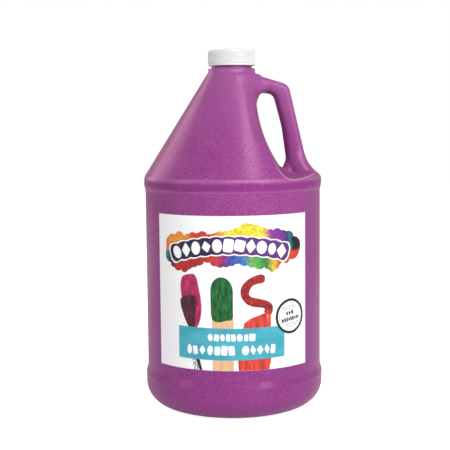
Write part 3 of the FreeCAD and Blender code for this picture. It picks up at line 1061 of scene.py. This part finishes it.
def bars(left, right, rows, dice, tall=0.9, gap=1.6):
    """Lines of print too small to read: thin bars of uneven length, broken into words."""
    out = []
    for up in rows:
        across = left
        while across < right - 2:
            wide = min(dice.uniform(3.0, 8.5), right - across)
            out.append(box_outline(across, up, across + wide, up + tall))
            across += wide + gap
    return out


def stroke(line, widths):
    """The outline of a brush stroke along a line, with a width at each point."""
    line = np.array(line)
    along = np.gradient(line, axis=0)
    along /= np.linalg.norm(along, axis=1)[:, None]
    side = np.stack([-along[:, 1], along[:, 0]], 1) * np.array(widths)[:, None] / 2
    return [tuple(p) for p in (*(line + side), *(line - side)[::-1])]


def splash_outline(dice):
    """A lobed cloud of splashes: the highest and lowest reach of many round lobes."""
    lobes = [(across, 146.0 + dice.uniform(-2, 2), dice.uniform(7, 9))
             for across in range(-54, 55, 6)]
    for across, up, size in ((-57, 139, 6.5), (-57, 149, 5.5), (52, 143, 8.5), (48, 153, 5.5)):
        lobes.append((across, up, size))
    across = -55.0
    while across < 48:
        size = dice.uniform(3.0, 5.0)
        crest = 158.0 + 7.5 * math.exp(-((across - 12) / 17) ** 2) + dice.uniform(-1.5, 2.5)
        lobes.append((across, crest - size, size))
        across += size * dice.uniform(1.15, 1.6)
    across = -54.0
    while across < 50:
        size = dice.uniform(3.0, 5.2)
        trough = 132.0 - 5.0 * math.exp(-((across - 30) / 9) ** 2) \
            - 5.0 * math.exp(-((across + 44) / 11) ** 2) + dice.uniform(-2.0, 2.5)
        lobes.append((across, trough + size, size))
        across += size * dice.uniform(1.15, 1.6)
    upper, lower = [], []
    left = min(a - r for a, _, r in lobes)
    right = max(a + r for a, _, r in lobes)
    steps = 180
    for k in range(steps + 1):
        across = left + (right - left) * k / steps
        here = [(up, math.sqrt(max(r * r - (across - a) ** 2, 0))) for a, up, r in lobes
                if abs(across - a) <= r + 1e-9]
        upper.append((across, max(up + half for up, half in here)))
        lower.append((across, min(up - half for up, half in here)))
    return [*lower, *upper[-2:0:-1]]


def arch_outline(low, high, start, end, lobes=0, depth=0.0):
    """A band between two radii of the arch with soft ends; its edges may be scalloped."""
    upper, lower = [], []
    steps = 66
    for k in range(steps + 1):
        turn = math.radians(start + (end - start) * k / steps)
        dip = depth * (1 - abs(math.sin(math.pi * lobes * k / steps))) if lobes else 0
        end_rounding = min(1.0, math.sin(math.pi * k / steps) * 7 + 0.55)
        middle, half = (low + high) / 2, (high - low) / 2 * end_rounding
        for edge, radius in ((upper, middle + half - dip), (lower, middle - half + dip)):
            edge.append((ARCH[0] + radius * math.sin(turn), ARCH[1] + radius * math.cos(turn)))
    return [*lower, *upper[::-1]]


def make_front_label(film):
    """Sheet, colour splash with its plaque, three daubs, banner and round badge."""
    dice = random.Random(11)
    black = make_ink("black_ink", (10, 10, 12), (26, 26, 30))
    grey = make_ink("grey_ink", (150, 152, 158), (176, 178, 184))
    magenta = make_ink("magenta_ink", (150, 16, 72), (196, 36, 102), (216, 78, 132), up=0.35,
                       size=3.0)
    bristle = make_ink("bristle_ink", (26, 6, 12), (96, 22, 44), (160, 60, 84), across=1.3,
                       up=0.2, size=2.4)
    green = make_ink("green_ink", (4, 58, 24), (14, 112, 46), (72, 162, 82), up=0.3, size=2.6)
    wood = make_ink("wood_ink", (222, 172, 126), (234, 192, 148), (206, 150, 104), across=1.2,
                    up=0.12, size=3.4)
    red = make_ink("red_ink", (186, 38, 30), (222, 74, 52), (238, 128, 98), across=1.2, up=0.14,
                   size=4.0)
    crimson = make_ink("crimson_ink", (112, 8, 12), (176, 26, 24), (226, 96, 82), size=5.0)
    teal = make_ink("teal_ink", (54, 160, 178), (72, 178, 196), across=0.4, size=18.0)

    left = -LABEL_RADIUS * math.radians(54.1)
    right = LABEL_RADIUS * math.radians(51.4)
    low, high = label_low.z, label_high.z
    middle = (ARCH_LOW + ARCH_HIGH) / 2
    letters = []
    count, inset = 11, 0.9    # the plaque has one scallop to each letter
    for k in range(count):
        turn = math.radians(ARCH_START + inset
                            + (ARCH_END - ARCH_START - 2 * inset) * (k + 0.5) / count)
        letters.append(pebble(ARCH[0] + middle * math.sin(turn), ARCH[1] + middle * math.cos(turn),
                              8.3 * dice.uniform(0.82, 1.1), 11.6 * dice.uniform(0.8, 1.04),
                              -turn + dice.uniform(-0.2, 0.2),
                              dice.choice((SQUARE, OVAL, DIAMOND))))

    squiggle = smooth_loop([(25.6, 120.4), (20.0, 120.3), (13.6, 117.9), (9.4, 113.2),
                            (8.8, 107.5), (12.4, 102.9), (18.8, 101.0), (25.5, 99.4),
                            (29.0, 96.2), (27.6, 91.6)], closed=False)
    widths = [7.0 + 0.4 * math.sin(k * 0.5) for k in range(len(squiggle))]
    widths[0], widths[1], widths[2] = 3.0, 5.4, 6.6
    tilt = math.radians(8)
    beads = [(BADGE[0] + (14.5 + 0.35 * (k % 2)) * math.cos(k * math.tau / BADGE_NOTCHES),
              BADGE[1] + (14.5 + 0.35 * (k % 2)) * math.sin(k * math.tau / BADGE_NOTCHES))
             for k in range(BADGE_NOTCHES)]

    def on_badge(outlines):
        return [[(BADGE[0] + x * math.cos(tilt) - y * math.sin(tilt),
                  BADGE[1] + x * math.sin(tilt) + y * math.cos(tilt)) for x, y in outline]
                for outline in outlines]

    prints = [
        ("film", 0, film, [box_outline(left, low, right, high)]),
        ("splash", 1, make_splash_ink(), [splash_outline(dice)]),
        ("halo", 2, film, [arch_outline(ARCH_LOW - 1.0, ARCH_HIGH + 1.0, ARCH_START - 0.4,
                                        ARCH_END + 0.4, count, 0.8)]),
        ("plaque", 3, make_plaque_ink(), [arch_outline(ARCH_LOW, ARCH_HIGH, ARCH_START, ARCH_END,
                                                       count, 1.0)]),
        ("letters", 4, film, letters),
        ("dab", 1, magenta, [smooth_loop([(-46.8, 111), (-45.4, 121), (-39, 124), (-32.6, 123.2),
                                          (-29.4, 112), (-27.4, 98), (-28.8, 86.5), (-32.5, 80.2),
                                          (-38, 84), (-44, 98)])]),
        ("bristles", 2, bristle, [smooth_loop([(-46.6, 103.6), (-40, 106.4), (-34.4, 107),
                                               (-31.2, 102), (-32.9, 92), (-34, 80.2),
                                               (-38.8, 80.2), (-42.4, 86), (-46.6, 97)])]),
        ("shaft", 1, make_marbled_ink(), [[(-34.6, 45.2), (-27.2, 45.2), (-29.8, 55),
                                           (-36.4, 55)]]),
        ("stick", 1, wood, [box_outline(-18.3, low + 0.1, -0.8, 92)]),
        ("dip", 2, green, [smooth_loop([(-19.4, 101), (-19.2, 114), (-16, 120.4), (-10.5, 122.4),
                                        (-5, 120.2), (-1.4, 113.5), (-1.2, 100), (-1.8, 88.4),
                                        (-7, 86.8), (-12.7, 85.6), (-18.4, 88)])]),
        ("smear", 1, red, [[(3.2, 45.2), (29.2, 45.2), (30.8, 54), (30.6, 91.2), (25.6, 92.4),
                            (19, 88.6), (13.2, 88.2), (8.2, 84.8), (4.0, 70), (2.4, 56)]]),
        ("squiggle", 2, crimson, [stroke(squiggle, widths)]),
        ("banner", 3, teal, [[(-49, 54.2), (-3, 53.8), (43.4, 54.8), (43.6, 80.6), (-3, 80.2),
                              (-49, 80.8)]]),
        ("banner_words", 4, film, [*pebble_row(8, -22.7, 17.4, 69.8, 76.0, dice),
                                   *pebble_row(7, -41.0, 0.6, 58.0, 66.4, dice),
                                   *pebble_row(5, 5.4, 35.0, 58.2, 66.6, dice)]),
        ("badge_ring", 5, black, [beads]),
        ("badge_face", 6, film, [pebble(*BADGE, 25.0, 25.0, points=48)]),
        ("badge_rim", 7, grey, [pebble(*BADGE, 23.0, 23.0, points=48)]),
        ("badge_middle", 8, film, [pebble(*BADGE, 22.2, 22.2, points=48)]),
        ("badge_words", 9, black, on_badge([*pebble_row(3, -4.4, 3.8, 0.9, 4.9, dice),
                                            *pebble_row(9, -9.6, 9.4, -4.2, -0.2, dice)])),
        ("badge_lines", 9, grey, on_badge([*bars(-7.4, 7.4, [8.0, 6.4], dice, 0.7, 1.0),
                                           *bars(-7.6, 7.6, [-6.4], dice, 0.7, 1.0),
                                           *bars(-5.4, 5.4, [-8.4], dice, 0.7, 1.0)])),
    ]
    return join("front_label_print", *(press(name, outlines, layer, finish)
                                       for name, layer, finish, outlines in prints))


def make_rear_label(film):
    """Plain panel of directions: a header, two columns of unread print and colour swatches."""
    dice = random.Random(5)
    teal, grey = bpy.data.materials["teal_ink"], bpy.data.materials["grey_ink"]
    half = LABEL_RADIUS * math.radians(50)
    low, high = rear_low.z, rear_high.z
    swatches = [(bpy.data.materials[name + "_ink"], pebble(-50 + 20 * k, low + 16, 13, 13,
                                                           points=24))
                for k, name in enumerate(("crimson", "red", "wood", "green", "teal", "magenta"))]
    prints = [
        ("film", 0, film, [box_outline(-half, low, half, high)]),
        ("header", 1, teal, [box_outline(-58, high - 24, 58, high - 8)]),
        ("header_words", 2, film, [*pebble_row(6, -50, -12, high - 20, high - 12, dice),
                                   *pebble_row(8, -6, 50, high - 20, high - 12, dice)]),
        ("columns", 1, grey, [*bars(-58, -4, [high - 34 - 4 * k for k in range(14)], dice, 1.2),
                              *bars(4, 58, [high - 34 - 4 * k for k in range(14)], dice, 1.2)]),
        *((f"swatch_{k}", 1, ink, [outline]) for k, (ink, outline) in enumerate(swatches)),
    ]
    return join("rear_label_print", *(press(name, outlines, layer, finish, facing=-1)
                                      for name, layer, finish, outlines in prints))


# ------------------------------------------------------------------ stage, camera, light

# The share of the room's light that falls on the jug.
AMBIENT = 0.31

# Metres and degrees, and the lens in the millimetres that lenses are sold by.
CAMERA_PLACE = (-0.00654, -0.8997, 0.2510)
CAMERA_DIP = 5.955
CAMERA_ROLL = -0.551
CAMERA_LENS = 82.4
CAMERA_SHIFT = -0.0011


def make_stage():
    """A wide pale floor in a white room that looks brighter than the light it gives."""
    half = 3000.0
    floor = add_piece("floor", [(-half, -half, 0), (half, -half, 0), (half, half, 0),
                                (-half, half, 0)], [(0, 1, 2, 3)], make_floor_paper())
    world = bpy.data.worlds.new("studio")
    bpy.context.scene.world = world
    world.use_nodes = True
    bench = Bench(world.node_tree)
    light = world.node_tree.nodes["Background"]
    direct = bench.node("ShaderNodeLightPath", out="Is Camera Ray")
    bench.feed(light.inputs["Strength"], direct * (1 - AMBIENT) + AMBIENT)
    light.inputs["Color"].default_value = (1.0, 1.0, 1.0, 1)


def add_softbox(name, place, width, height, power, colour=(1, 1, 1)):
    """A rectangular area light at a place in metres, turned to face the jug's middle."""
    data = bpy.data.lights.new(name, "AREA")
    data.shape = "RECTANGLE"
    data.size, data.size_y = width, height
    data.energy = power
    data.color = colour
    lamp = add_object(name, data)
    lamp.location = place
    aim = Vector((0, 0, jug_high.z * MM * 0.55)) - Vector(place)
    lamp.rotation_euler = aim.to_track_quat("-Z", "Y").to_euler()


def make_camera():
    """A long lens in front of the label, looking a little down."""
    data = bpy.data.cameras.new("camera")
    data.lens = CAMERA_LENS
    data.shift_x = CAMERA_SHIFT
    camera = add_object("camera", data)
    aim = Matrix.Rotation(math.radians(90 - CAMERA_DIP), 4, "X")
    roll = Matrix.Rotation(math.radians(CAMERA_ROLL), 4, "Z")
    camera.matrix_world = Matrix.Translation(CAMERA_PLACE) @ aim @ roll
    bpy.context.scene.camera = camera


make_stage()
make_camera()
add_softbox("key", (0.95, -1.15, 0.55), 0.25, 0.5, 3.6)
add_softbox("strip", (0.55, -1.2, 0.95), 1.6, 0.16, 16)
add_softbox("streak", (0.55, -0.65, 1.55), 0.4, 0.2, 3.4)
add_softbox("rim", (-1.05, 0.75, 0.7), 0.7, 0.9, 4.6, (1.0, 0.66, 0.74))
add_softbox("fill", (-1.25, -0.6, 0.6), 0.4, 0.9, 2.2)
bpy.context.scene.view_settings.view_transform = "Standard"

jug_plastic = make_jug_plastic("jug_plastic")
# A paler copy of the plastic paints the highlight along the recess rims.
rim_highlight_plastic = make_jug_plastic("jug_plastic_thin_edge", painted_highlight_share=0.5)
cap_plastic = make_cap_plastic()
film = make_label_film()

jug = make_jug(jug_plastic)
seam = make_parting_line(jug, jug_plastic)
thread = make_ridge("neck_thread", NECK_RADIUS - 0.05, 297.6, 0.0, 1.2, jug_plastic)
# The recess rims take the plastic with the painted highlight.
rims = [make_recess_rim(side, rim_highlight_plastic) for side in (1, -1)]
jug = join("jug_body", jug, seam, thread, *rims)
paint = make_paint(make_glitter_paint())
front_label = make_front_label(film)
rear_label = make_rear_label(film)
cap = make_cap(cap_plastic)

for piece, body, node, slot in (
        (jug, "jug", "jug_shell", "jug_plastic"), (paint, "jug", "paint_fill", "glitter_paint"),
        (front_label, "jug", "front_label", "label_paper"),
        (rear_label, "jug", "rear_label", "label_paper"),
        (cap, "cap", "cap_shell", "cap_plastic")):
    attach(piece, body)
    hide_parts(node)

for node, make in (("foil_seal", make_foil), ("cap_liner", make_liner_foam)):
    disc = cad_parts[node]
    disc.data.materials.clear()
    disc.data.materials.append(make())
